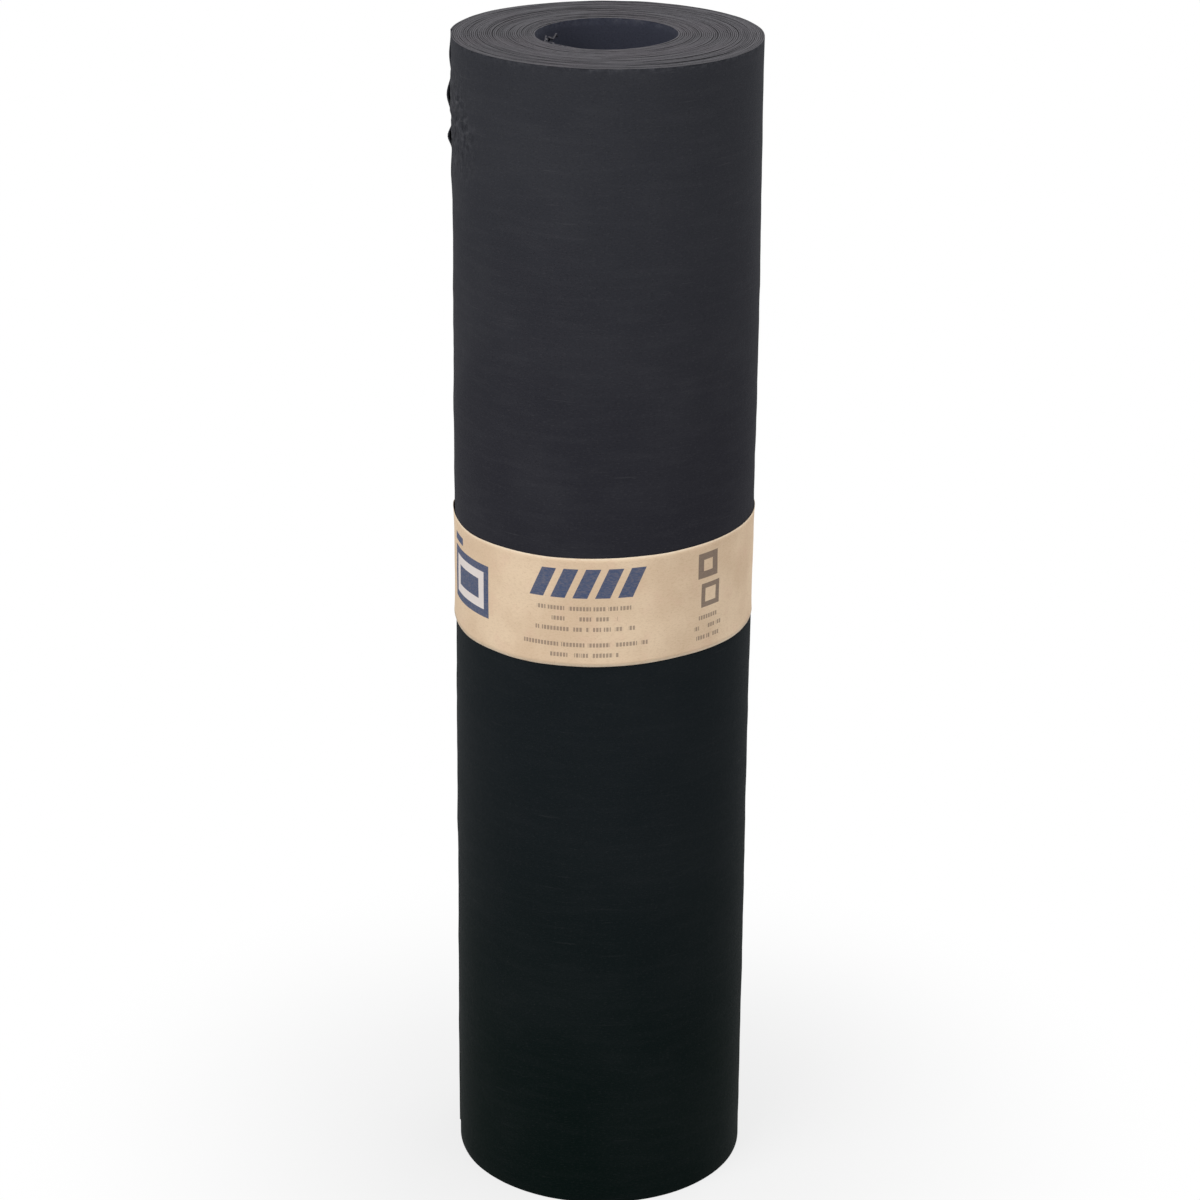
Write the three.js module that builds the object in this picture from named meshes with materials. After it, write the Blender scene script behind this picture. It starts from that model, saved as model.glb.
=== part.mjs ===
// Roll of heavy roofing felt, standing on one end.
//
// The felt is one long sheet, wound on a mandrel that was then drawn out, so the roll has an open bore and
// no core. Its section is a spiral: the turns show as grooves on both ends, the sheet's outer end stands as
// a step along the outside, and its inner end as a step along the bore. A kraft paper band, glued to itself
// where its ends lap, goes once round the roll and keeps it closed.
//
// Millimetres, +Z up. The origin is on the roll's axis, at the end that it stands on.
import * as THREE from "three";

// The felt sheet, and how it is wound.
const SHEET_WIDTH = 914.4; // 36 inches: the height of the standing roll
const SHEET_LENGTH = 21945.6; // 72 feet, which covers two squares of roof
const FELT_THICKNESS = 1.35;
const TURN_GAP = 0.15; // air left between one turn and the next
const BORE_DIAMETER = 101.6; // the mandrel, 4 inches
const GROOVE_DEPTH = 0.6; // how far the crease between two turns sinks below the crests of their slit edges
const OUTER_END_DEGREES = 174; // where the sheet's outer end lies, counted from +X towards +Y

// The paper band.
const BAND_WIDTH = 86;
const BAND_RAISE = 49; // from the middle of the roll's height up to the middle of the band
const PAPER_THICKNESS = 0.25;
const BAND_CLEARANCE = 0.3; // between the felt and the paper
const BAND_LAP = 60; // how far the band's glued end runs over its beginning
const BAND_LAP_DEGREES = 75; // where the glued end stops

// How finely the round forms are cut into flats.
const WINDING_STEPS = 1380; // the most steps that the whole spiral is drawn with

const FULL_TURN = 2 * Math.PI;

// The winding. A step is a small equal angle, counted along the sheet from its inner end. The sheet's inner
// face is at windingRadius(step), and its outer face is one turn of steps further on in the same spiral.
const pitch = FELT_THICKNESS + TURN_GAP;
const boreRadius = BORE_DIAMETER / 2;
const turns = turnsOf(SHEET_LENGTH);
const stepsPerTurn = Math.floor(WINDING_STEPS / turns);
const lastStep = Math.round(turns * stepsPerTurn);
const startAngle = THREE.MathUtils.degToRad(OUTER_END_DEGREES) - stepAngle(lastStep);

// The number of turns that a sheet of this length makes: the sheet's mid-line is turns * FULL_TURN *
// (boreRadius + pitch * (turns + 1) / 2) long, which is solved here for turns.
function turnsOf(length) {
  const firstMidline = boreRadius + pitch / 2;
  const discriminant = firstMidline ** 2 + (2 * pitch * length) / FULL_TURN;
  return (Math.sqrt(discriminant) - firstMidline) / pitch;
}

function stepAngle(step) {
  return (FULL_TURN * step) / stepsPerTurn;
}

function windingRadius(step) {
  return boreRadius + (pitch * step) / stepsPerTurn;
}

function windingPoint(step, radius, height) {
  const angle = startAngle + stepAngle(step);
  return new THREE.Vector3(radius * Math.cos(angle), radius * Math.sin(angle), height);
}

// The wound felt, as one solid. Two spiral lines run over each end: the crease between neighbouring turns,
// and the crest along the middle of each turn's slit edge. Where a crease line runs on the bore or on the
// outside it has no neighbour, so it stays level with the crests and the corner there is square.
function feltGeometry() {
  const positions = [];
  const indices = [];

  function addPoint(point) {
    return positions.push(...point) / 3 - 1;
  }

  // The numbers of the points of one end's two lines.
  function endLines(level, inward) {
    const crease = [];
    const crest = [];
    for (let step = 0; step <= lastStep + stepsPerTurn; step += 1) {
      const betweenTurns = step >= stepsPerTurn && step <= lastStep;
      const sink = betweenTurns ? inward * GROOVE_DEPTH : 0;
      crease.push(addPoint(windingPoint(step, windingRadius(step), level + sink)));
    }
    for (let step = 0; step <= lastStep; step += 1) {
      crest.push(addPoint(windingPoint(step, windingRadius(step) + pitch / 2, level)));
    }
    return { crease, crest };
  }

  function addQuad(a, b, c, d) {
    indices.push(a, b, c, a, c, d);
  }

  const bottom = endLines(0, 1);
  const top = endLines(SHEET_WIDTH, -1);

  // Both ends: each step has a flank from the crease up to the crest, and one down to the next crease.
  for (let step = 0; step < lastStep; step += 1) {
    const next = step + 1;
    const outer = step + stepsPerTurn;
    addQuad(top.crease[step], top.crest[step], top.crest[next], top.crease[next]);
    addQuad(top.crest[step], top.crease[outer], top.crease[outer + 1], top.crest[next]);
    addQuad(bottom.crease[next], bottom.crest[next], bottom.crest[step], bottom.crease[step]);
    addQuad(bottom.crest[next], bottom.crease[outer + 1], bottom.crease[outer], bottom.crest[step]);
  }

  // The bore's wall is the first turn's inner face, and the outside is the last turn's outer face.
  for (let step = 0; step < stepsPerTurn; step += 1) {
    const outer = lastStep + step;
    addQuad(bottom.crease[step + 1], bottom.crease[step], top.crease[step], top.crease[step + 1]);
    addQuad(bottom.crease[outer], bottom.crease[outer + 1], top.crease[outer + 1], top.crease[outer]);
  }

  // The sheet's cut ends: a face in the bore at the first step, and one along the outside at the last.
  function addCutEnd(step, faces) {
    const outer = step + stepsPerTurn;
    const below = [bottom.crease[step], bottom.crest[step], bottom.crease[outer]];
    const above = [top.crease[step], top.crest[step], top.crease[outer]];
    for (let half = 0; half < 2; half += 1) {
      const corners = [below[half], below[half + 1], above[half + 1], above[half]];
      addQuad(...(faces === "backward" ? corners : corners.reverse()));
    }
  }
  addCutEnd(0, "backward");
  addCutEnd(lastStep, "forward");

  const geometry = new THREE.BufferGeometry();
  geometry.setAttribute("position", new THREE.Float32BufferAttribute(positions, 3));
  geometry.setIndex(indices);
  geometry.computeVertexNormals();
  return geometry;
}

// The band's outline, seen from above. It lies on the last turn, one clearance off it, and goes straight
// from the sheet's cut end down to the turn below, as tight paper does. Its outer side stands one more
// paper's thickness out where the ends lap.
function bandShape() {
  const inside = new THREE.Path();
  const outside = new THREE.Shape();
  const outerRadius = windingRadius(lastStep + stepsPerTurn);
  const stepLength = (FULL_TURN * outerRadius) / stepsPerTurn;
  const lapSteps = Math.max(1, Math.round(BAND_LAP / stepLength));
  const degreesToLapEnd = (((BAND_LAP_DEGREES - OUTER_END_DEGREES) % 360) + 360) % 360;
  const lapEnd = Math.round((degreesToLapEnd / 360) * stepsPerTurn);
  const insidePoints = [];
  const outsidePoints = [];

  for (let step = 1; step <= stepsPerTurn; step += 1) {
    const windingStep = lastStep + step;
    const seat = windingRadius(windingStep) + BAND_CLEARANCE;
    const beforeLapEnd = (lapEnd - step + stepsPerTurn) % stepsPerTurn;
    const lapped = beforeLapEnd < lapSteps;
    insidePoints.push(windingPoint(windingStep, seat, 0));
    outsidePoints.push(windingPoint(windingStep, seat + PAPER_THICKNESS * (lapped ? 2 : 1), 0));
    if (beforeLapEnd === 0) outsidePoints.push(windingPoint(windingStep, seat + PAPER_THICKNESS, 0));
  }
  outside.setFromPoints(outsidePoints);
  inside.setFromPoints(insidePoints);
  outside.holes.push(inside);
  return outside;
}

function part(name, geometry, material) {
  const mesh = new THREE.Mesh(geometry, material);
  mesh.name = name;
  return mesh;
}

const felt = new THREE.MeshStandardMaterial({ color: 0x303134, roughness: 0.92, metalness: 0 });
const kraftPaper = new THREE.MeshStandardMaterial({ color: 0xd2b48f, roughness: 0.85, metalness: 0 });

const feltRoll = part("felt_roll", feltGeometry(), felt);
const labelBand = part(
  "label_band",
  new THREE.ExtrudeGeometry(bandShape(), { depth: BAND_WIDTH, bevelEnabled: false }),
  kraftPaper,
);
labelBand.position.z = SHEET_WIDTH / 2 + BAND_RAISE - BAND_WIDTH / 2;

const roofingFeltRoll = new THREE.Group();
roofingFeltRoll.add(feltRoll, labelBand);

export default roofingFeltRoll;
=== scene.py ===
"""A roll of heavy roofing felt, standing on its end and kept closed by a printed band of kraft paper."""
import math

import bmesh
import bpy
import numpy as np
from mathutils import Matrix, Vector


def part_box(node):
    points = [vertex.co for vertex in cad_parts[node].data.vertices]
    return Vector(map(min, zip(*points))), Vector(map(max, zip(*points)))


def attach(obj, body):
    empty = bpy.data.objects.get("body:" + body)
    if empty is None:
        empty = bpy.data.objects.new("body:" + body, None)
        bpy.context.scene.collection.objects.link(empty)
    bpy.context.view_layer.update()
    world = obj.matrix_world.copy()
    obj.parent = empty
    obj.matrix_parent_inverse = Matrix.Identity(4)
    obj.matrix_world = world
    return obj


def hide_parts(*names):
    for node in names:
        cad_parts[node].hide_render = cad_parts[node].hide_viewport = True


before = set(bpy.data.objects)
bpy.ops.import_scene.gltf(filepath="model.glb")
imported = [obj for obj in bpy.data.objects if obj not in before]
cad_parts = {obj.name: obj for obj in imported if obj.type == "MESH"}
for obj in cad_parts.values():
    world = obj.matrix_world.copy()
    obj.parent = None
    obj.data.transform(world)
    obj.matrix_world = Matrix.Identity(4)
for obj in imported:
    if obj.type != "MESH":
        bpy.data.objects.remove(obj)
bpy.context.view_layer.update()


# ---------------------------------------------------------------------------------------------------------
# The wound felt. One long sheet of rag felt, soaked in bitumen, is wound on a mandrel that is then drawn
# out. Its slit edges make both ends of the roll. Its outer end stands off the roll near the top, where the
# outer turn is crushed too, and its inner end has come loose in the bore.

MM = 0.001
FULL_TURN = 2 * math.pi
SHEET_THICKNESS = 1.35 * MM
TURN_GAP = 0.15 * MM
PITCH = SHEET_THICKNESS + TURN_GAP
BORE_RADIUS = 50.8 * MM
OUTER_END = math.radians(174)  # where the sheet's outer end lies, counted from +X towards +Y
ROLL_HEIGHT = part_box("felt_roll")[1].z

# The steps along the sheet, in turns from its inner end. Every turn has its steps at the same angles, so
# that neighbouring turns meet in one crease, and they lie closer on the side where the sheet's ends are.
WHOLE_TURNS = 42
STEPS_PER_TURN = 180
STEPS_OVER = 12  # after the last whole turn
CLOSEST_AT = 0.09  # the share of a turn at which they lie closest
CLOSER = 0.55  # how much closer they lie there than on average, as a share

step = np.arange(WHOLE_TURNS * STEPS_PER_TURN + STEPS_OVER + 1)
share_of_turn = (step % STEPS_PER_TURN) / STEPS_PER_TURN
bunched = np.sin(FULL_TURN * (share_of_turn - CLOSEST_AT)) + math.sin(FULL_TURN * CLOSEST_AT)
step_turn = step // STEPS_PER_TURN + share_of_turn - CLOSER * bunched / FULL_TURN

TURNS = step_turn[-1]
INNER_END = OUTER_END - FULL_TURN * TURNS
OUTER_RADIUS = BORE_RADIUS + PITCH * TURNS + SHEET_THICKNESS


def smoothstep(low, high, value):
    """0 below low, 1 above high, and the cubic 3x^2 - 2x^3 between them. Where low is the larger of the
    two, it runs the other way."""
    x = np.clip((value - low) / (high - low), 0, 1)
    return x * x * (3 - 2 * x)


def hump(middle, half_width, value):
    """1 in the middle, falling smoothly to 0 at half_width on both sides."""
    return 1 - smoothstep(0, half_width, np.abs(value - middle))


WAVES = 14
WAVE_LENGTHS = (0.7, 1.5)  # the shortest and the longest wave, as shares of the wavelength


def unevenness(points, wavelength, seed):
    """A smooth random field, mostly between -1 and 1: the scaled sum of plane sine waves that cross at
    random, each about a wavelength long."""
    random = np.random.default_rng(seed)
    directions = random.normal(size=(WAVES, 3))
    directions /= np.linalg.norm(directions, axis=1, keepdims=True)
    lengths = wavelength * random.uniform(*WAVE_LENGTHS, (WAVES, 1))
    phases = random.uniform(0, FULL_TURN, WAVES)
    return np.sin(points @ (FULL_TURN * directions / lengths).T + phases).sum(-1) / math.sqrt(WAVES)


def cylinder_point(angle, radius, height):
    """Cartesian points from an angle counted from +X, a distance from the axis and a height."""
    return np.stack(np.broadcast_arrays(radius * np.cos(angle), radius * np.sin(angle), height), -1)


LOOSE_SPOTS = 12
LOOSE_REACH = 7  # the turns on each side of a loose spot that close up to make room for it
LOOSE_FREE = 3  # the outermost turns, at least, that no loose spot reaches
LOOSE_OPENING = (0.25 * MM, 0.55 * MM)
LOOSE_HALF_ARC = (math.radians(40), math.radians(115))


def loose_shift(turn, angle):
    """How far the winding is off an even spiral. At a loose spot the gap outside one turn opens along an
    arc. The turns within reach move out or in by up to half the opening, and by less the further away they
    lie."""
    random = np.random.default_rng(seed=31)
    shift = 0
    for spot in range(LOOSE_SPOTS):
        middle = random.uniform(0, FULL_TURN)
        opening, half_arc = random.uniform(*LOOSE_OPENING), random.uniform(*LOOSE_HALF_ARC)
        whole = LOOSE_REACH + (WHOLE_TURNS - LOOSE_FREE - 2 * LOOSE_REACH) * spot // LOOSE_SPOTS
        opens_after = whole + (middle + math.pi - INNER_END) / FULL_TURN % 1
        from_middle = np.abs((angle - middle + math.pi) % FULL_TURN - math.pi)
        closing = np.clip((turn - opens_after) / (2 * LOOSE_REACH) + 0.5, 0, 1)
        shift = shift + opening * hump(0, half_arc, from_middle) * ((turn > opens_after) - closing)
    return shift


FLAP_TURNS = 0.085  # how much of the outer end stands off the roll
FLAP_BULGES = (  # the height of the middle, half the length and the rise of each
    (895 * MM, 16 * MM, 1.2 * MM),
    (865 * MM, 17 * MM, 3.4 * MM),
    (834 * MM, 10 * MM, 3.1 * MM),
    (806 * MM, 20 * MM, 0.8 * MM),
)
FLAP_FOOT_RISE, FLAP_FOOT_HEIGHT = 0.6 * MM, 260 * MM
FLAP_BEND = 1.4  # the power that it bends away by, where 1 is straight


def flap_lift(height):
    """How far the outer end stands off: in bulges near the top, a little at the foot, and not at all in
    between, where the band holds it down."""
    bulges = sum(rise * hump(middle, half, height) for middle, half, rise in FLAP_BULGES)
    return bulges + FLAP_FOOT_RISE * (1 - smoothstep(0, FLAP_FOOT_HEIGHT, height))


def crumple(place, long, short, seed):
    """The folds of crumpled felt, mostly from -1 to 1: the size of a long uneven field less the size of a
    short one. Sharp ridges run where the short field changes sign, and valleys where the long one does."""
    return np.abs(unevenness(place, long, seed)) - np.abs(unevenness(place, short, seed + 1))


CRUSHED_ANGLE, CRUSHED_HALF_ARC = math.radians(197), math.radians(25)
CRUSHED_HEIGHT, CRUSHED_REACH = 860 * MM, 60 * MM
CRUSHED_CORE = 0.35  # how much of the patch, out from its middle, is crushed in full
CRUSHED_RISE = 1.5 * MM
CRUSHED_FOLD_LENGTHS = (20 * MM, 12 * MM)
CRUSHED_FOLD_MEAN, CRUSHED_FOLD_SWING = 0.5, 0.45  # as shares of the rise
CRUSHED_TURNS = 1.2  # how many of the outermost turns are crushed
BORDER_WANDER, BORDER_WANDER_LENGTH = 0.16, 45 * MM


def crushed(turn, place, height):
    """The folds of the crushed patch beside the outer end, from 0 in the valleys to 1 on the ridges. They
    fade from the patch's core out to its uneven border, and are 0 beyond it."""
    angle = INNER_END + FULL_TURN * turn
    after_end = (angle - OUTER_END) % FULL_TURN + OUTER_END
    across = (after_end - CRUSHED_ANGLE) / CRUSHED_HALF_ARC
    from_middle = np.hypot(across, (height - CRUSHED_HEIGHT) / CRUSHED_REACH)
    border = BORDER_WANDER * unevenness(place, BORDER_WANDER_LENGTH, seed=12)
    patch = smoothstep(1, CRUSHED_CORE, from_middle + border)
    folds = CRUSHED_FOLD_MEAN + CRUSHED_FOLD_SWING * crumple(place, *CRUSHED_FOLD_LENGTHS, seed=3)
    return patch * np.clip(folds, 0, 1) * (turn > TURNS - CRUSHED_TURNS)


DENTED_OUTSIDE, DENTED_INSIDE = 9, 8  # how many of the outermost and of the innermost turns are dented
WIDE_DENT, WIDE_DENT_LENGTH = 0.35 * MM, 210 * MM
SMALL_DENT, SMALL_DENT_LENGTH = 0.12 * MM, 60 * MM
SMALL_DENT_FLATNESS = 2.4  # how many times as long as high it is
BORE_DENT, BORE_DENT_LENGTH = 0.35 * MM, 160 * MM


def dents(turn, place):
    """How far the faint dents stand out or in. The outermost turns have wide ones with small ones over
    them, and the innermost turns have their own. Each kind is an uneven field that fades over its turns."""
    outside = smoothstep(TURNS - DENTED_OUTSIDE, TURNS, turn)
    inside = 1 - smoothstep(0, DENTED_INSIDE, turn)
    wide = WIDE_DENT * unevenness(place, WIDE_DENT_LENGTH, seed=1)
    small = SMALL_DENT * unevenness(place * (1, 1, SMALL_DENT_FLATNESS), SMALL_DENT_LENGTH, seed=2)
    in_bore = BORE_DENT * unevenness(place, BORE_DENT_LENGTH, seed=8)
    return outside * (wide + small) + inside * in_bore


TAIL_TURNS = 0.26  # how much of the inner end hangs loose in the bore
TAIL_BEND = 1.3
TAIL_HANG = 10 * MM
TAIL_HANG_AT_FOOT = 0.35  # as a share of the hang near the top
TAIL_HANG_GROWS = (250 * MM, 880 * MM)  # the heights between which it grows
TAIL_RAGGED, TAIL_RAGGED_LENGTH = 0.22, 34 * MM
TAIL_FOLD, TAIL_FOLD_LENGTHS = 3 * MM, (22 * MM, 14 * MM)
TAIL_FOLDS_FROM_ROOT = (0.02, 0.5)  # the values of tail between which the folds set in
TAIL_FOLDS_UPWARDS = (760 * MM, 880 * MM)  # the heights between which they set in


def tail_hang(tail, place, in_bore, height):
    """How far the inner end hangs in from the bore's wall, where tail goes from 0 at its root to 1 at the
    cut. It hangs further near the top, unevenly all the way, and there it is crumpled too."""
    grown = smoothstep(*TAIL_HANG_GROWS, height)
    ragged = 1 + TAIL_RAGGED * unevenness(place, TAIL_RAGGED_LENGTH, seed=5)
    hang = TAIL_HANG * (TAIL_HANG_AT_FOOT + (1 - TAIL_HANG_AT_FOOT) * grown) * ragged
    folded = smoothstep(*TAIL_FOLDS_FROM_ROOT, tail) * smoothstep(*TAIL_FOLDS_UPWARDS, height)
    folds = np.clip(crumple(in_bore, *TAIL_FOLD_LENGTHS, seed=55), -1, 1)
    return tail**TAIL_BEND * hang + folded * TAIL_FOLD * folds


CUT_WANDER, CUT_WANDER_LENGTH = 1.1 * MM, 75 * MM
FRAY, FRAY_LENGTH = 1.6 * MM, 13 * MM
FRAYED_TURNS = 0.05
TEAR, TEAR_LENGTH = 4.5 * MM, 11 * MM
TEAR_MEAN, TEAR_SWING = 0.55, 0.6  # how deep the tears are on average and how far they vary, as shares
TEAR_RANGE = (0.1, 1.3)  # the least and the most of that share
TORN_HEIGHT = 60 * MM  # from the top down


def sheet_point(turn, through, height):
    """Where a point of the sheet lies. turn counts from the inner end, and through is 0 on the inner face
    and 1 on the outer one. The sheet is a spiral with loose spots, dents and a crushed patch. Its outer end
    lifts off along a cut that wanders. Its inner end hangs in the bore, frayed and torn along its cut."""
    turn, through, height = np.broadcast_arrays(turn, through, height)
    angle = INNER_END + FULL_TURN * turn
    radius = BORE_RADIUS + PITCH * turn + SHEET_THICKNESS * through + loose_shift(turn, angle)
    place = cylinder_point(angle, OUTER_RADIUS, height)
    radius = radius + dents(turn, place) + CRUSHED_RISE * crushed(turn, place, height)

    flap = smoothstep(TURNS - FLAP_TURNS, TURNS, turn)
    radius = radius + flap**FLAP_BEND * flap_lift(height)
    wander = CUT_WANDER * unevenness(place * (0, 0, 1), CUT_WANDER_LENGTH, seed=9)
    angle = angle + flap * wander / OUTER_RADIUS

    tail = 1 - smoothstep(0, TAIL_TURNS, turn)
    in_bore = cylinder_point(angle, BORE_RADIUS, height)
    radius = radius - tail_hang(tail, place, in_bore, height)
    fray = FRAY * unevenness(in_bore * (0, 0, 1), FRAY_LENGTH, seed=15)
    angle = angle + (1 - smoothstep(0, FRAYED_TURNS, turn)) * fray / BORE_RADIUS
    torn = TEAR * tail**3 * smoothstep(ROLL_HEIGHT - TORN_HEIGHT, ROLL_HEIGHT, height)
    tears = TEAR_MEAN + TEAR_SWING * unevenness(place, TEAR_LENGTH, seed=10)
    height = height - torn * np.clip(tears, *TEAR_RANGE)
    return cylinder_point(angle, radius, height)


SLIT_WANDERS = (  # how far the slit edge wanders, over about how many turns, and the random seed
    (0.34 * MM, 8, 6),
    (0.24 * MM, 2.6, 7),
    (0.07 * MM, 0.35, 11),
)
SLIT_CIRCLE = 2  # the radius, in turns, of the circle that stands for once round in the wanders' fields
TOP_SUNK = 0.8 * MM  # from the roll's full height down to the mean level of its top
TOP_RANGE, FOOT_RANGE = (-1.2 * MM, 0.8 * MM), (0, 0.6 * MM)  # from the mean level, and from the floor


def end_height(turn, at_top):
    """The height of the slit edge. Groups of turns stand a little higher or lower than their neighbours,
    each turn does so within its group, and the knife has left the edge slightly uneven. It is a sum of
    uneven fields, kept within the end's range."""
    angle = FULL_TURN * turn
    place = np.stack((turn, SLIT_CIRCLE * np.cos(angle), SLIT_CIRCLE * np.sin(angle)), -1)
    offset = sum(rise * unevenness(place, turns, seed) for rise, turns, seed in SLIT_WANDERS)
    if at_top:
        return ROLL_HEIGHT - TOP_SUNK + np.clip(offset, *TOP_RANGE)
    return np.clip(offset, *FOOT_RANGE)


def along_sheet(turn):
    """The length of sheet before a turn: the spiral's radius summed over the angle turned."""
    return FULL_TURN * (BORE_RADIUS * turn + PITCH * turn**2 / 2)


class Shell:
    """Grids of points that make one mesh together, with a UV and a wear value at each point."""

    def __init__(self):
        self.points, self.uvs, self.wears, self.quads, self.finishes = [], [], [], [], []

    def add_grid(self, points, uvs, wear=0.0, finish=0):
        """Adds rows by columns of points, with a quad between each four neighbours."""
        rows, columns = points.shape[:2]
        first = sum(len(grid) for grid in self.points)
        corner = first + np.arange(rows * columns).reshape(rows, columns)
        quads = np.stack((corner[:-1, :-1], corner[1:, :-1], corner[1:, 1:], corner[:-1, 1:]), -1)
        self.points.append(points.reshape(-1, 3))
        self.uvs.append(np.broadcast_to(uvs, (rows, columns, 2)).reshape(-1, 2))
        self.wears.append(np.broadcast_to(wear, (rows, columns)).ravel())
        self.quads.append(quads.reshape(-1, 4))
        self.finishes.append(np.full(quads.size // 4, finish, np.int32))

    def make_piece(self, name, uv_name, materials):
        """Builds the smooth-shaded mesh and returns its object."""
        mesh = bpy.data.meshes.new(name)
        quads = np.concatenate(self.quads)
        mesh.from_pydata(np.concatenate(self.points), [], quads.tolist())
        mesh.uv_layers.new(name=uv_name).data.foreach_set("uv", np.concatenate(self.uvs)[quads].ravel())
        wear = mesh.attributes.new("wear", "FLOAT", "POINT")
        wear.data.foreach_set("value", np.concatenate(self.wears).astype(np.float32))
        for material in materials:
            mesh.materials.append(material)
        mesh.polygons.foreach_set("material_index", np.concatenate(self.finishes))
        mesh.polygons.foreach_set("use_smooth", np.ones(len(quads), bool))
        piece = bpy.data.objects.new(name, mesh)
        bpy.context.scene.collection.objects.link(piece)
        return piece


def join_edges(piece, weld=0.002 * MM):
    """Merges the points where the grids of a closed shell meet, and turns all its faces outwards."""
    work = bmesh.new()
    work.from_mesh(piece.data)
    bmesh.ops.remove_doubles(work, verts=work.verts, dist=weld)
    bmesh.ops.recalc_face_normals(work, faces=work.faces)
    work.to_mesh(piece.data)
    work.free()


class Socket:
    """An output of a node in a finish. Arithmetic and comparison on it add Math nodes."""

    def __init__(self, finish, socket):
        self.finish, self.socket = finish, socket

    def math(self, operation, *values):
        return self.finish.node("Math", {"operation": operation}, dict(enumerate(values)))

    def __add__(self, other):
        return self.math("ADD", self, other)

    def __sub__(self, other):
        return self.math("SUBTRACT", self, other)

    def __rsub__(self, other):
        return self.math("SUBTRACT", other, self)

    def __mul__(self, other):
        return self.math("MULTIPLY", self, other)

    def __truediv__(self, other):
        return self.math("DIVIDE", self, other)

    def __pow__(self, other):
        return self.math("POWER", self, other)

    def __lt__(self, other):
        return self.math("LESS_THAN", self, other)

    def __gt__(self, other):
        return self.math("GREATER_THAN", self, other)

    def __or__(self, other):
        return self.math("MAXIMUM", self, other)

    def __abs__(self):
        return self.math("ABSOLUTE", self)

    __radd__, __rmul__ = __add__, __mul__

    def fraction(self):
        return self.math("FRACT", self)

    def between(self, low, high):
        """1 where the value is between low and high, and 0 elsewhere."""
        return (self > low) * (self < high)

    def stretch(self, low, high, to_low=0.0, to_high=1.0):
        """The stretch from low to high, carried smoothly to the one from to_low to to_high."""
        sockets = {"Value": self, "From Min": low, "From Max": high, "To Min": to_low, "To Max": to_high}
        return self.finish.node("MapRange", {"interpolation_type": "SMOOTHSTEP"}, sockets)


class Finish:
    """The nodes of a material, or of the studio's sky, under construction."""

    def __init__(self, owner):
        owner.use_nodes = True
        self.owner, self.tree = owner, owner.node_tree

    def fill(self, node, sockets):
        """Gives a node's sockets their values or links."""
        for name, value in sockets.items():
            if isinstance(value, Socket):
                self.tree.links.new(value.socket, node.inputs[name])
            else:
                node.inputs[name].default_value = value

    def node(self, kind, settings, sockets, output=0):
        """Adds a node of a kind, with its settings first and then its sockets, and returns an output."""
        node = self.tree.nodes.new("ShaderNode" + kind)
        for name, value in settings.items():
            setattr(node, name, value)
        self.fill(node, sockets)
        return Socket(self, node.outputs[output])

    def dress(self, sockets):
        """Sets the sockets of the material's Principled BSDF and returns the material."""
        self.fill(self.tree.nodes["Principled BSDF"], sockets)
        return self.owner

    def place(self):
        """The point being shaded, in the object's own metres."""
        return self.node("TexCoord", {}, {}, "Object")

    def uv(self, name):
        """The point being shaded, on one of the piece's UV maps."""
        return self.node("UVMap", {"uv_map": name}, {})

    def axes(self, vector):
        """The three components of a vector."""
        outputs = self.node("SeparateXYZ", {}, {"Vector": vector}).socket.node.outputs
        return [Socket(self, output) for output in outputs]

    def stretched(self, vector, scale):
        """A vector with each component multiplied by its own number. Above 1 it squeezes a pattern on the
        vector, and below 1 it draws it out."""
        return self.node("VectorMath", {"operation": "MULTIPLY"}, {0: vector, 1: scale})

    def noise(self, vector, size, detail=3.0, roughness=0.5):
        """Soft noise, about 0.3 to 0.7, in patches of about a size."""
        sockets = {"Vector": vector, "Scale": 1 / size, "Detail": detail, "Roughness": roughness}
        return self.node("TexNoise", {}, sockets)

    def noise_along(self, value, size, detail=2.0):
        """Soft noise of one number, about 0.3 to 0.7, in stretches of about a size."""
        sockets = {"W": value, "Scale": 1 / size, "Detail": detail}
        return self.node("TexNoise", {"noise_dimensions": "1D"}, sockets)

    def facets(self, vector, size, feature):
        """Distances in a pattern of straight-edged facets of about a size: from their middles, F1, or from
        their edges, DISTANCE_TO_EDGE, where 1 stands for the size."""
        return self.node("TexVoronoi", {"feature": feature}, {"Vector": vector, "Scale": 1 / size})

    def mix(self, factor, first, second):
        """The colour between the first and the second, by a factor."""
        colour_a, colour_b, colour_result = 6, 7, 2  # the numbers of the node's colour sockets
        sockets = {"Factor": factor, colour_a: first, colour_b: second}
        return self.node("Mix", {"data_type": "RGBA"}, sockets, colour_result)

    def bump(self, height, distance):
        """A normal tilted by a height map whose full range stands for a distance."""
        return self.node("Bump", {}, {"Height": height, "Distance": distance, "Strength": 1.0})


def srgb(red, green, blue):
    """A colour written as 0 to 255 display values, as the linear values that sockets take."""
    shown = np.array((red, green, blue)) / 255
    linear = np.where(shown <= 0.04045, shown / 12.92, ((shown + 0.055) / 1.055) ** 2.4)
    return (*linear.tolist(), 1.0)


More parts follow.
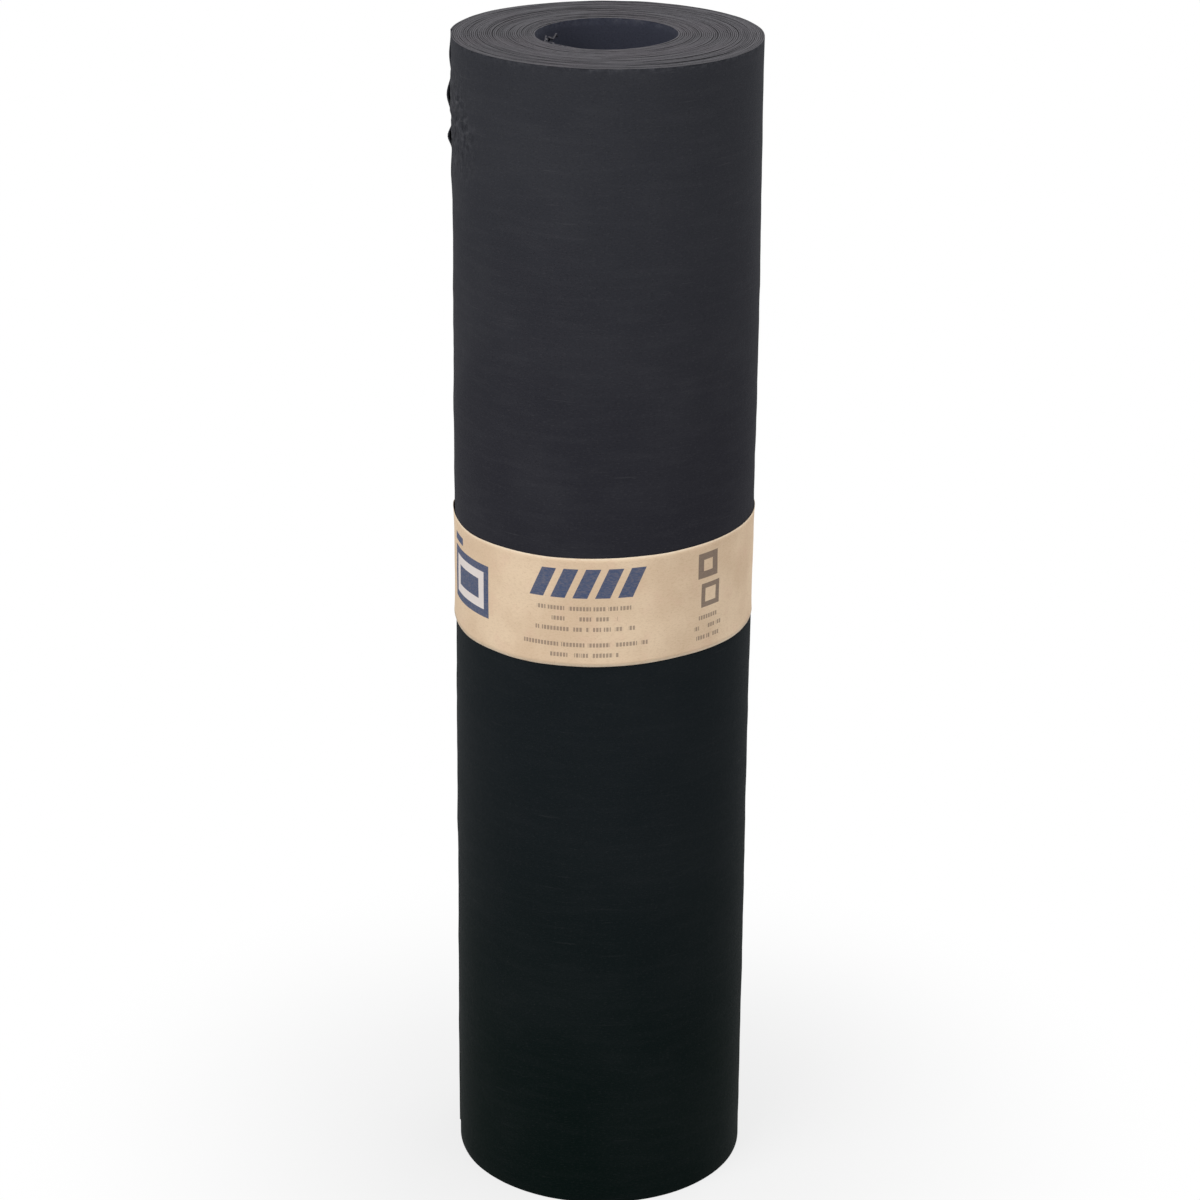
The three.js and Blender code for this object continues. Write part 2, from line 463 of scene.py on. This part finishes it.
# The sheet's faces: the heights between which their colours change, and the colours from the foot up, of the
# dust and of the paler bluish grey in the bore, of fibres and pores, and of what is worn. The outside is
# darker towards the foot as painted shade, steps paler above the paper band, and is paler towards the top
# as painted light. What is worn is paler on its raised spots, as rubbed felt with a painted highlight, and
# darker in its hollows as painted shade.
FOOT_HEIGHTS, BAND_STEP_HEIGHTS, TOP_HEIGHTS = (0, 460 * MM), (490 * MM, 520 * MM), (550 * MM, 900 * MM)
SHADED_FOOT_BLACK, GREY_BLACK = srgb(4, 15, 13), srgb(22, 27, 30)
SHADED_UPPER_GREY, LIT_TOP_GREY = srgb(39, 39, 45), srgb(46, 47, 52)
DUST, BORE_BLUE_GREY = srgb(78, 78, 82), srgb(55, 57, 68)
BORE_TINT_RADII = (56 * MM, 52 * MM)  # from none to all of it
FIBRE, PORE, SCUFF = srgb(92, 91, 93), srgb(6, 7, 9), srgb(105, 104, 106)
RUBBED_AND_HIGHLIGHT, DENT_SHADE, BROKEN = srgb(100, 100, 105), srgb(18, 18, 22), srgb(120, 119, 122)
BIG_FACET, SMALL_FACET = 11 * MM, 6 * MM


def felt_face():
    """The sheet's faces: matte and fibrous, with short fibres that lie mostly along the sheet. They are
    paler grey above the band, with more dust there, and lighter towards the top as painted light. Below the
    band they are a greener black that darkens towards the foot as painted shade. In the bore they are paler
    and bluish. Where the sheet is crushed, or its rim has rubbed, it is dented in facets, with pale broken
    creases, paler raised spots that are rubbed felt with a painted highlight, and painted shade in the
    hollows."""
    finish = Finish(bpy.data.materials.new("felt_face"))
    place, sheet = finish.place(), finish.uv("sheet")
    x, y, height = finish.axes(place)
    radius = (x * x + y * y) ** 0.5
    wear = finish.node("Attribute", {"attribute_name": "wear"}, {}, "Fac")
    clouds = finish.noise(place, 90 * MM)
    streaks = finish.noise(finish.stretched(place, (1, 1, 7)), 40 * MM)
    scuffs = finish.noise(finish.stretched(sheet, (0.05, 1, 1)), 2.2 * MM, 2.0)
    fibres = finish.noise(finish.stretched(sheet, (0.3, 1, 1)), 0.9 * MM, 3.0, 0.65)
    grain = finish.noise(place, 1.1 * MM, 4.0, 0.7)
    pebble = finish.noise(place, 5 * MM)
    dimples = finish.noise(place, 5 * MM, 2.0)
    facets = finish.facets(place, BIG_FACET, "F1") + finish.facets(place, SMALL_FACET, "F1") * 0.4
    creases = finish.facets(place, BIG_FACET, "DISTANCE_TO_EDGE").stretch(0.05, 0.0)
    broken = finish.noise(place, 12 * MM).stretch(0.42, 0.6)

    # The outside's colour: painted shade, darker towards the foot; a step paler above the band; and painted
    # light, paler towards the top.
    above_band = height.stretch(*BAND_STEP_HEIGHTS)
    foot = finish.mix(height.stretch(*FOOT_HEIGHTS), SHADED_FOOT_BLACK, GREY_BLACK)
    top = finish.mix(height.stretch(*TOP_HEIGHTS), SHADED_UPPER_GREY, LIT_TOP_GREY)
    colour = finish.mix(above_band, foot, top)
    dust = clouds.stretch(0.42, 0.7) * 0.08 + streaks.stretch(0.45, 0.7) * 0.05
    colour = finish.mix(dust * (0.3 + above_band * 0.7), colour, DUST)
    # Paler and bluish grey on the bore's wall.
    colour = finish.mix(radius.stretch(*BORE_TINT_RADII), colour, BORE_BLUE_GREY)
    colour = finish.mix(fibres.stretch(0.5, 0.75) * (0.06 + above_band * 0.07), colour, FIBRE)
    colour = finish.mix(grain.stretch(0.5, 0.25) * 0.35, colour, PORE)
    colour = finish.mix(scuffs.stretch(0.66, 0.78) * (0.04 + above_band * 0.05), colour, SCUFF)
    # Paler on the raised spots of what is worn, as rubbed felt with a painted highlight, and darker in its
    # hollows as painted shade.
    colour = finish.mix(wear * dimples.stretch(0.45, 0.7) * 0.28, colour, RUBBED_AND_HIGHLIGHT)
    colour = finish.mix(wear * dimples.stretch(0.5, 0.3) * 0.6, colour, DENT_SHADE)
    colour = finish.mix(wear * creases * broken * 0.2, colour, BROKEN)

    relief = grain * 0.4 + fibres * 0.3 + pebble * 0.5 + wear * (dimples * 2.0 - facets * 5.0)
    return finish.dress({
        "Base Color": colour,
        "Roughness": 0.86 + grain * 0.16,
        "Normal": finish.bump(relief, 0.5 * MM),
        "Specular IOR Level": 0.05,
        "Sheen Weight": 0.03,
        "Sheen Roughness": 0.4,
    })


# The slit edges' colours, by groups of turns, by turns, in clouds, and of streaks and pores, and the painted
# shade in the creases.
DARK_GROUP, PALE_GROUP, PALE_TURN = srgb(73, 72, 76), srgb(83, 82, 86), srgb(92, 90, 94)
SLIT_CLOUD, SLIT_STREAK, SLIT_PORE = srgb(88, 83, 88), srgb(118, 115, 118), srgb(40, 40, 43)
CREASE_SHADE = srgb(16, 16, 18)


def felt_slit_edge():
    """The slit edges, where the knife has opened the fibres: paler than the faces and streaked along the
    sheet, with each turn and each group of turns a little different, and painted shade dark down in the
    creases."""
    finish = Finish(bpy.data.materials.new("felt_slit_edge"))
    place, sheet = finish.place(), finish.uv("sheet")
    x, y, _ = finish.axes(place)
    along, through, _ = finish.axes(sheet)
    radius = (x * x + y * y) ** 0.5
    groups = finish.noise_along(radius, 7 * MM, 3.0)
    turns = finish.noise_along(along, 240 * MM)
    clouds = finish.noise(place, 60 * MM)
    streaks = finish.noise(finish.stretched(sheet, (0.12, 1, 1)), 0.45 * MM, 2.0)
    grain = finish.noise(place, 1.3 * MM, 4.0, 0.7)

    colour = finish.mix(groups.stretch(0.38, 0.62), DARK_GROUP, PALE_GROUP)
    colour = finish.mix(turns.stretch(0.35, 0.65) * 0.5, colour, PALE_TURN)
    colour = finish.mix(clouds.stretch(0.45, 0.7) * 0.4, colour, SLIT_CLOUD)
    colour = finish.mix(streaks.stretch(0.55, 0.75) * 0.35, colour, SLIT_STREAK)
    colour = finish.mix(grain.stretch(0.52, 0.3) * 0.4, colour, SLIT_PORE)
    # Painted shade down in the creases between turns.
    in_crease = through.stretch(SHEET_THICKNESS, 1.2 * SHEET_THICKNESS)
    colour = finish.mix(in_crease, colour, CREASE_SHADE)
    return finish.dress({
        "Base Color": colour,
        "Roughness": 0.9 + grain * 0.1,
        "Normal": finish.bump(grain * 0.6 + streaks * 0.4, 0.5 * MM),
        "Specular IOR Level": 0.08,
        "Sheen Weight": 0.03,
    })


# The outer wall runs from under the flap once round to the sheet's outer end, over the cut, and back on
# the flap's inner face. The bore's wall does the same at the other end of the sheet.
FACE, SLIT_EDGE = 0, 1  # the piece's two finishes
INNER_FACE, OUTER_FACE = 0, 1
CORNER = 0.09  # how far through the sheet the corners of a slit edge are rounded off
CORNER_HEIGHT = 0.35 * MM
CREASE_DEPTH = 1.6 * MM
OUTER_ROWS = ((0, 0.88, 84), (0.88, 1, 56))  # from and to, as shares of the height, and how many rows
BORE_ROWS = ((0, 0.8, 12), (0.8, 1, 34))
TOP_RIM_WEAR_AND_HIGHLIGHT, RIM_WEAR_REACH = 0.6, 2.0 * MM
TAIL_WEAR, TAIL_WORN_TURNS, TAIL_WORN_HEIGHTS = 1.3, 0.1, (800 * MM, 890 * MM)

last = len(step) - 1
flap_steps = int((step_turn > TURNS - FLAP_TURNS).sum())
tail_steps = int((step_turn < TAIL_TURNS).sum())
first_outer = last - STEPS_PER_TURN - flap_steps  # the step that lies under the flap's root
foot_level, top_level = end_height(step_turn, False), end_height(step_turn, True)


def height_shares(row_stretches):
    """The heights of a wall's rows, as shares of the roll's: evenly along each stretch, with a row at each
    corner of the slit edges."""
    shares = np.concatenate([np.linspace(*stretch, endpoint=False) for stretch in row_stretches])
    corner = CORNER_HEIGHT / ROLL_HEIGHT
    return np.concatenate(([0], np.clip(shares, corner, 1), [1 - corner, 1]))


def add_wall(shell, path_stretches, row_stretches):
    """Adds a wall of the roll: a closed path along the sheet by rows up it. The path is given as stretches
    of steps, each with the face of the sheet that it keeps to. The first and the last row take the slit
    edges' corners."""
    path = np.concatenate([steps for steps, _ in path_stretches])
    faces = np.concatenate([np.full(len(steps), face) for steps, face in path_stretches])
    path, faces = np.append(path, path[0]), np.append(faces, faces[0])
    turn, face = step_turn[path][:, None], faces[:, None]
    low, high = foot_level[path][:, None], top_level[path][:, None]
    shares = height_shares(row_stretches)
    height = low + (high - low) * shares
    at_corner = np.isin(np.arange(len(shares)), (0, len(shares) - 1))
    through = np.where(at_corner, CORNER + (1 - 2 * CORNER) * face, face)
    points = sheet_point(turn, through, height)

    folds = crushed(turn, cylinder_point(INNER_END + FULL_TURN * turn, OUTER_RADIUS, height), height)
    # Along the top rim the felt is rubbed, and the same mask also paints a highlight and shade there.
    rim_wear_and_highlight = TOP_RIM_WEAR_AND_HIGHLIGHT * np.exp((height - high) / RIM_WEAR_REACH)
    tail_wear = TAIL_WEAR * smoothstep(TAIL_TURNS, TAIL_WORN_TURNS, turn)
    tail_wear = tail_wear * smoothstep(*TAIL_WORN_HEIGHTS, height)
    uvs = np.stack(np.broadcast_arrays(along_sheet(turn), height), -1)
    shell.add_grid(points, uvs, np.maximum.reduce((folds, rim_wear_and_highlight, tail_wear)), FACE)


def add_end(shell, level, inward):
    """Adds an end of the roll: the flat strip of the sheet's slit edge, and between each turn and the next
    a crease that goes inward, downward at the top and upward at the foot."""
    inner_corner = sheet_point(step_turn, CORNER, level)
    outer_corner = sheet_point(step_turn, 1 - CORNER, level)
    along = along_sheet(step_turn)[:, None]
    strip_uvs = np.stack(np.broadcast_arrays(along, (0, SHEET_THICKNESS)), -1)
    shell.add_grid(np.stack((inner_corner, outer_corner), 1), strip_uvs, 0, SLIT_EDGE)

    grooved = np.arange(tail_steps, first_outer + 1)
    near, far = outer_corner[grooved], inner_corner[grooved + STEPS_PER_TURN]
    crease = (near + far) / 2 + (0, 0, inward * CREASE_DEPTH)
    depth = SHEET_THICKNESS + np.array((0, CREASE_DEPTH, 0))
    crease_uvs = np.stack(np.broadcast_arrays(along[grooved], depth), -1)
    shell.add_grid(np.stack((near, crease, far), 1), crease_uvs, 0, SLIT_EDGE)
    for end in (0, -1):  # where the crease starts and stops, a quad drawn in to a triangle closes it
        stop = np.array([[near[end], crease[end]], [far[end], far[end]]])
        shell.add_grid(stop, crease_uvs[end, 0], 0, SLIT_EDGE)


felt = Shell()
out_to_end = np.arange(first_outer, last + 1)
back_under_flap = np.arange(last, last - flap_steps - 1, -1)
in_to_end = np.arange(STEPS_PER_TURN + tail_steps, -1, -1)
back_behind_tail = np.arange(tail_steps + 1)
add_wall(felt, ((out_to_end, OUTER_FACE), (back_under_flap, INNER_FACE)), OUTER_ROWS)
add_wall(felt, ((in_to_end, INNER_FACE), (back_behind_tail, OUTER_FACE)), BORE_ROWS)
add_end(felt, foot_level, 1)
add_end(felt, top_level, -1)

wound_felt = felt.make_piece("wound_felt", "sheet", [felt_face(), felt_slit_edge()])
join_edges(wound_felt)
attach(wound_felt, "root")
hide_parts("felt_roll")


# ---------------------------------------------------------------------------------------------------------
# The paper band. It is a strip of brown kraft paper, printed in dark blue and a brownish black. It is
# pulled tight round the roll, a little askew, and glued to itself where its ends lap, at the back.

PAPER_THICKNESS = 0.22 * MM
PAPER_STANDOFF = 0.36 * MM  # from the felt to the paper's outer face
GLUE_THICKNESS = 0.05 * MM
BAND_BEGINS, BAND_LAP = math.radians(45), math.radians(30)
LAP_CLIMB = 0.03  # the angle over which the lap climbs onto the band's first end
BAND_FOOT, BAND_TOP = (corner.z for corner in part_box("label_band"))
BAND_WIDTH = BAND_TOP - BAND_FOOT
BAND_RAISED, BAND_ASKEW = 0.4 * MM, 3.2 * MM
BRIDGE = math.radians(16)  # how far the tight paper stays off the felt beside the sheet's outer end
FRONT = math.radians(270)
EDGE_WANDER, EDGE_WANDER_LENGTH = 0.35 * MM, 120 * MM
EDGE_CURL, EDGE_CURL_LENGTH = 0.35 * MM, 45 * MM
RIPPLE, RIPPLE_LENGTH = 0.06 * MM, 22 * MM
RIPPLE_FLATNESS = 0.4  # a ripple is higher than long


def band_surface(columns=430, rows=26):
    """The paper's outer face, as a grid round the roll by up its width, and its UV in metres: across the
    front from the middle, and up from the band's foot. The paper follows the felt under it at a standoff.
    To that come the bridge beside the cut end, the lap over its own first end, a curl that grows with the
    sixth power towards both edges, and a faint ripple."""
    turned = np.linspace(0, FULL_TURN + BAND_LAP, columns)[:, None]
    up = np.linspace(0, 1, rows)[None, :]
    angle = BAND_BEGINS + turned
    place = cylinder_point(angle, OUTER_RADIUS, up * BAND_WIDTH)
    wander = EDGE_WANDER * unevenness(place * (1, 1, 0), EDGE_WANDER_LENGTH, seed=21)
    height = BAND_FOOT + up * BAND_WIDTH + BAND_RAISED + BAND_ASKEW * np.cos(angle) + wander

    after_end = (angle - OUTER_END) % FULL_TURN
    felt_under = sheet_point(TURNS - 1 + after_end / FULL_TURN, OUTER_FACE, height)
    bridge = PITCH * (1 - np.clip(after_end / BRIDGE, 0, 1)) ** 2
    lapped = smoothstep(FULL_TURN - LAP_CLIMB, FULL_TURN, turned) * (PAPER_THICKNESS + GLUE_THICKNESS)
    curl = np.abs(2 * up - 1) ** 6 * EDGE_CURL * (1 + unevenness(place, EDGE_CURL_LENGTH, seed=22))
    ripple = RIPPLE * unevenness(place * (1, 1, RIPPLE_FLATNESS), RIPPLE_LENGTH, seed=23)
    points = felt_under + cylinder_point(angle, PAPER_STANDOFF + bridge + lapped + curl + ripple, 0)

    across = (angle - FRONT) * OUTER_RADIUS
    return points, np.stack(np.broadcast_arrays(across, up * BAND_WIDTH), -1)


# The print's places on the paper, across from the middle of the front and up from the band's foot.
BARS, BAR_PITCH, BAR_SHARE, BAR_SLANT = 5, 17 * MM, 0.66, 0.45
BARS_LEFT, BARS_FOOT, BARS_TOP = -57 * MM, 54.5 * MM, 77.5 * MM
UNDER_BARS, UNDER_BOXES = -14 * MM, 88 * MM
LINES = (  # across to the middle, up to the foot, and half the length of each line of the small print
    (UNDER_BARS, 44.5 * MM, 37 * MM),
    (UNDER_BARS, 36.3 * MM, 25 * MM),
    (UNDER_BARS, 28.0 * MM, 38 * MM),
    (UNDER_BARS, 15.5 * MM, 48 * MM),
    (UNDER_BARS, 7.2 * MM, 26 * MM),
    (UNDER_BOXES, 25.0 * MM, 10 * MM),
    (UNDER_BOXES, 17.0 * MM, 14 * MM),
    (UNDER_BOXES, 9.0 * MM, 12 * MM),
)
LINE_HEIGHT = 3.3 * MM
LINE_APART = 37 * MM  # between the places in the noise where two lines take their words from
WORD, WORDS_ABOVE = 5 * MM, 0.4  # about a word's length, and the noise above which there is one
LETTER_PITCH, LETTER_SHARE = 2.5 * MM, 0.7
PANEL_MIDDLE, PANEL_FOOT = -128 * MM, 24 * MM
PANEL_WIDTH, PANEL_HEIGHT = 60 * MM, 42 * MM
PANEL_RING = (6 * MM, 13 * MM)  # from the panel's edge in to the ring's two edges
TAG_MIDDLE, TAG_FOOT, TAG_WIDTH, TAG_HEIGHT = -148 * MM, 70 * MM, 20 * MM, 6 * MM
BOXES = (  # across to the middle, up to it, half the outer width, and half the inner one
    (87 * MM, 68 * MM, 10 * MM, 4.5 * MM),
    (90 * MM, 44 * MM, 9.5 * MM, 5.5 * MM),
)
LAP_EDGE = (BAND_BEGINS + FULL_TURN - FRONT) * OUTER_RADIUS
GLUE_SOAKED = (LAP_EDGE - 7 * MM, LAP_EDGE + 6 * MM)
EDGE_RUBBED = (BAND_WIDTH / 2 - 2.2 * MM, BAND_WIDTH / 2 - 0.4 * MM)  # from the middle of its width

# The colours of the paper, of what is in it and on it, and of its inks.
KRAFT, PALE_KRAFT, PINK_KRAFT = srgb(210, 184, 155), srgb(222, 198, 169), srgb(214, 178, 156)
KRAFT_FIBRE, KRAFT_FLECK = srgb(184, 154, 122), srgb(140, 110, 80)
GLUE_STAIN, KRAFT_RUBBED = srgb(150, 118, 84), srgb(240, 226, 204)
PALE_RING, BLUE_INK, BLACK_INK = srgb(222, 222, 228), srgb(34, 63, 102), srgb(84, 72, 70)


def printed_kraft():
    """Brown kraft paper. It is printed in blue with slanted bars as a heading and, on the left, a plain
    panel with a pale ring in it and a tag over it. It is printed in brownish black with lines of plain
    blocks in place of small print, and two empty boxes. The paper is mottled, its edges are rubbed pale, and
    glue has soaked through where it laps."""
    finish = Finish(bpy.data.materials.new("printed_kraft"))
    place, sheet = finish.place(), finish.uv("print")
    across, up, _ = finish.axes(sheet)

    slant = (across - BARS_LEFT - (up - BARS_FOOT) * BAR_SLANT) / BAR_PITCH
    bars = slant.between(0, BARS) * up.between(BARS_FOOT, BARS_TOP) * (slant.fraction() < BAR_SHARE)

    def boxed(middle, foot, width, height):
        return (abs(across - middle) < width / 2) * up.between(foot, foot + height)

    letters = (across / LETTER_PITCH).fraction() < LETTER_SHARE
    fine = 0
    for number, (middle, foot, half_length) in enumerate(LINES):
        spot = finish.node("CombineXYZ", {}, {"X": across, "Y": number * LINE_APART})
        words = (finish.noise(spot, WORD, 0.0) > WORDS_ABOVE) * letters
        fine = fine + words * boxed(middle, foot, 2 * half_length, LINE_HEIGHT)

    def panel_inset(inset):
        return boxed(PANEL_MIDDLE, PANEL_FOOT + inset, PANEL_WIDTH - 2 * inset, PANEL_HEIGHT - 2 * inset)

    ring_outside, ring_inside = PANEL_RING
    ring = panel_inset(ring_outside) - panel_inset(ring_inside)
    signs = bars + panel_inset(0) - ring + boxed(TAG_MIDDLE, TAG_FOOT, TAG_WIDTH, TAG_HEIGHT)
    boxes = 0
    for middle, centre, outer, inner in BOXES:
        boxes = boxes + boxed(middle, centre - outer, 2 * outer, 2 * outer)
        boxes = boxes - boxed(middle, centre - inner, 2 * inner, 2 * inner)

    fibres = finish.noise(finish.stretched(place, (1, 1, 3)), 2.5 * MM, 4.0, 0.65)
    clouds = finish.noise(place, 50 * MM)
    mottle = finish.noise(place, 14 * MM)
    flecks = finish.noise(place, 0.9 * MM, 2.0)
    from_middle = abs(up - BAND_WIDTH / 2)
    rubbed = from_middle.stretch(*EDGE_RUBBED)
    glued = across.stretch(*GLUE_SOAKED) * mottle.stretch(0.35, 0.6)

    paper = finish.mix(clouds.stretch(0.35, 0.65), KRAFT, PALE_KRAFT)
    paper = finish.mix(mottle.stretch(0.5, 0.7) * 0.2, paper, PINK_KRAFT)
    paper = finish.mix(fibres.stretch(0.45, 0.7) * 0.3, paper, KRAFT_FIBRE)
    paper = finish.mix(flecks.stretch(0.66, 0.74) * 0.35, paper, KRAFT_FLECK)
    paper = finish.mix(glued * 0.25, paper, GLUE_STAIN)
    paper = finish.mix(rubbed * fibres.stretch(0.3, 0.6) * 0.6, paper, KRAFT_RUBBED)

    taken = fibres.stretch(0.75, 0.35, 0.84, 1.0)  # how much of the ink the paper's fibres have taken
    printed = finish.mix(ring * 0.6, paper, PALE_RING)
    printed = finish.mix(signs * taken * 0.95, printed, BLUE_INK)
    printed = finish.mix((fine * 0.62 + boxes * 0.8) * taken, printed, BLACK_INK)
    return finish.dress({
        "Base Color": printed,
        "Roughness": 0.78 + fibres * 0.15,
        "Normal": finish.bump(fibres, 0.12 * MM),
        "Specular IOR Level": 0.3,
    })


paper = Shell()
paper.add_grid(*band_surface())
paper_band = paper.make_piece("paper_band", "print", [printed_kraft()])
thickness = paper_band.modifiers.new("thickness", "SOLIDIFY")
thickness.thickness, thickness.offset = PAPER_THICKNESS, -1
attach(paper_band, "root")
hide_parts("label_band")


# ---------------------------------------------------------------------------------------------------------
# The plain studio: a pale floor that fades to white away from the roll, a white sky, soft lights and the
# camera.

WHITE = (1, 1, 1, 1)
FLOOR_HALF = 12.0  # half the length of its sides
FLOOR_GREY = (0.55, 0.55, 0.55, 1)
FLOOR_WHITENS = (0.12, 0.5)  # the distances from the axis between which it fades to white
FLOOR_WHITE = (0.76, 1.0)  # how much of plain white is seen at the first and at the second of them
SKY_STRENGTH = 0.6


def seen(finish):
    """1 for what the camera, a reflection or glass shows directly, and 0 for light on its way."""
    outputs = finish.node("LightPath", {}, {}).socket.node.outputs
    rays = [Socket(finish, outputs[f"Is {kind} Ray"]) for kind in ("Camera", "Glossy", "Transmission")]
    return rays[0] | rays[1] | rays[2]


def floor_paint():
    """Matte pale grey, seen mostly as white, so that it keeps a soft shadow beside the roll only."""
    finish = Finish(bpy.data.materials.new("floor_paint"))
    x, y, _ = finish.axes(finish.place())
    whitened = ((x * x + y * y) ** 0.5).stretch(*FLOOR_WHITENS, *FLOOR_WHITE)
    finish.dress({"Base Color": FLOOR_GREY, "Roughness": 0.9, "Specular IOR Level": 0.1})
    paint = Socket(finish, finish.tree.nodes["Principled BSDF"].outputs["BSDF"])
    white = finish.node("Emission", {}, {"Color": WHITE, "Strength": 1.0})
    shader = finish.node("MixShader", {}, {0: seen(finish) * whitened, 1: paint, 2: white})
    finish.fill(finish.tree.nodes["Material Output"], {"Surface": shader})
    return finish.owner


floor_mesh = bpy.data.meshes.new("floor")
floor_corners = [(x * FLOOR_HALF, y * FLOOR_HALF, 0) for x, y in ((-1, -1), (1, -1), (1, 1), (-1, 1))]
floor_mesh.from_pydata(floor_corners, [], [(0, 1, 2, 3)])
floor_mesh.materials.append(floor_paint())
floor = bpy.data.objects.new("floor", floor_mesh)
bpy.context.scene.collection.objects.link(floor)

world = bpy.data.worlds.new("studio")
bpy.context.scene.world = world
sky = Finish(world)
sky.fill(sky.tree.nodes["Background"], {
    "Color": WHITE,
    "Strength": SKY_STRENGTH + seen(sky) * (1 - SKY_STRENGTH),
})


def add_soft_light(name, place, target, size, power):
    """A square area lamp of a size and a power in watts, at a place and turned to a target."""
    lamp = bpy.data.lights.new(name, "AREA")
    lamp.size, lamp.energy = size, power
    light = bpy.data.objects.new(name, lamp)
    bpy.context.scene.collection.objects.link(light)
    light.location = place
    light.rotation_euler = (Vector(target) - Vector(place)).to_track_quat("-Z", "Y").to_euler()


add_soft_light("key", (-2.0, -2.2, 3.0), (0, 0, 0.5), 2.2, 84)
add_soft_light("fill", (2.6, -1.6, 2.3), (0, 0, 0.6), 2.2, 26)
add_soft_light("top", (1.0, 1.2, 2.2), (0, 0, 0.8), 1.4, 17)

LENS, SENSOR = 101.26, 36  # in millimetres
CAMERA_DISTANCE, CAMERA_HEIGHT = 2.4228, 1.4482  # in metres, from the roll's axis and above the floor
CAMERA_DOWN, CAMERA_YAW, CAMERA_ROLL = 0.3835, -0.0010, 0.0075  # in radians

camera_data = bpy.data.cameras.new("camera")
camera_data.sensor_width, camera_data.lens = SENSOR, LENS
camera = bpy.data.objects.new("camera", camera_data)
bpy.context.scene.collection.objects.link(camera)
aim = Matrix.Rotation(-CAMERA_YAW, 4, "Z") @ Matrix.Rotation(math.pi / 2 - CAMERA_DOWN, 4, "X")
stand = Matrix.Translation((0, -CAMERA_DISTANCE, CAMERA_HEIGHT))
camera.matrix_world = stand @ aim @ Matrix.Rotation(CAMERA_ROLL, 4, "Z")
bpy.context.scene.camera = camera
bpy.context.scene.view_settings.view_transform = "Standard"
